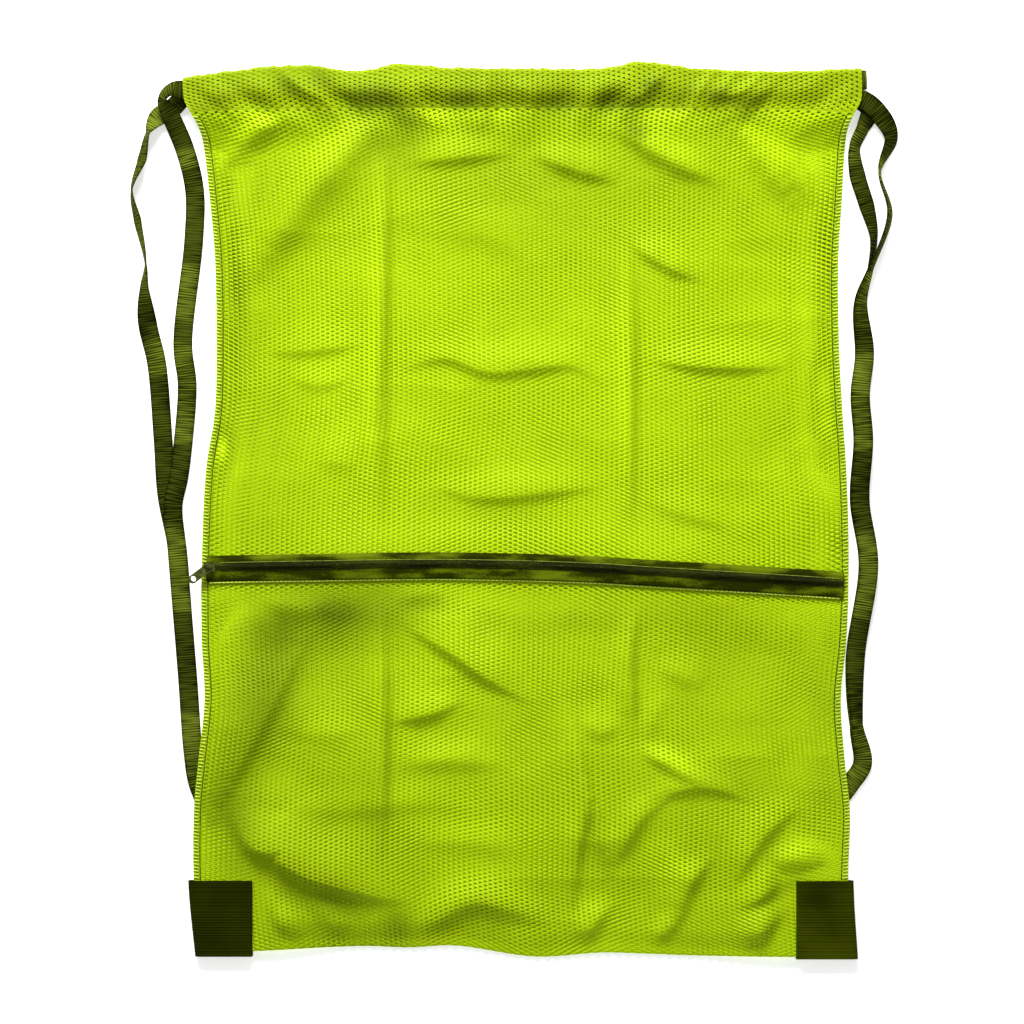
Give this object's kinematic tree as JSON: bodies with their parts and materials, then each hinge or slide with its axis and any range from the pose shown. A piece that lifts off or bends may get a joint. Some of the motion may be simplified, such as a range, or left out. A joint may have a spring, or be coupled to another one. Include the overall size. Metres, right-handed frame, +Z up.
{
  "type": "swim gear bag",
  "caption": "Flat net drawstring bag with a zipped front pocket, webbing drawstrings that double as shoulder straps, and dark corner patches, lying on its back.",
  "frame": {"origin": "on the floor under the middle of the bag", "axes": "+X to the right of the bag's front, +Y towards its mouth, +Z up out of its front"},
  "size_m": [0.5262, 0.6132, 0.0246],
  "materials": {
    "net": "satin lime net with small holes",
    "zip_tape": "woven dark olive tape",
    "zip_coil": "satin nylon coil",
    "zip_metal": "painted olive metal",
    "patch": "ribbed dark olive cloth",
    "webbing": "ribbed olive webbing with a slight gloss"
  },
  "bodies": {
    "bag": {"back_panel": "net", "front_panel": "net", "pocket_panel": "net", "zip_tape_upper": "zip_tape", "zip_tape_lower": "zip_tape", "zip_coil": "zip_coil", "zip_slider": "zip_metal", "corner_patch_left": "patch", "corner_patch_right": "patch", "strap_left": "webbing", "strap_right": "webbing"},
    "pull": {"zip_pull": "zip_metal"}
  },
  "joints": [
    {"name": "zip_pull_hinge", "type": "hinge", "parent": "bag", "child": "pull", "pos_m": [-0.2139, -0.03786, 0.00943], "axis": [-0.6018, 0.7986, 0], "range_deg": [0, 180]}
  ]
}
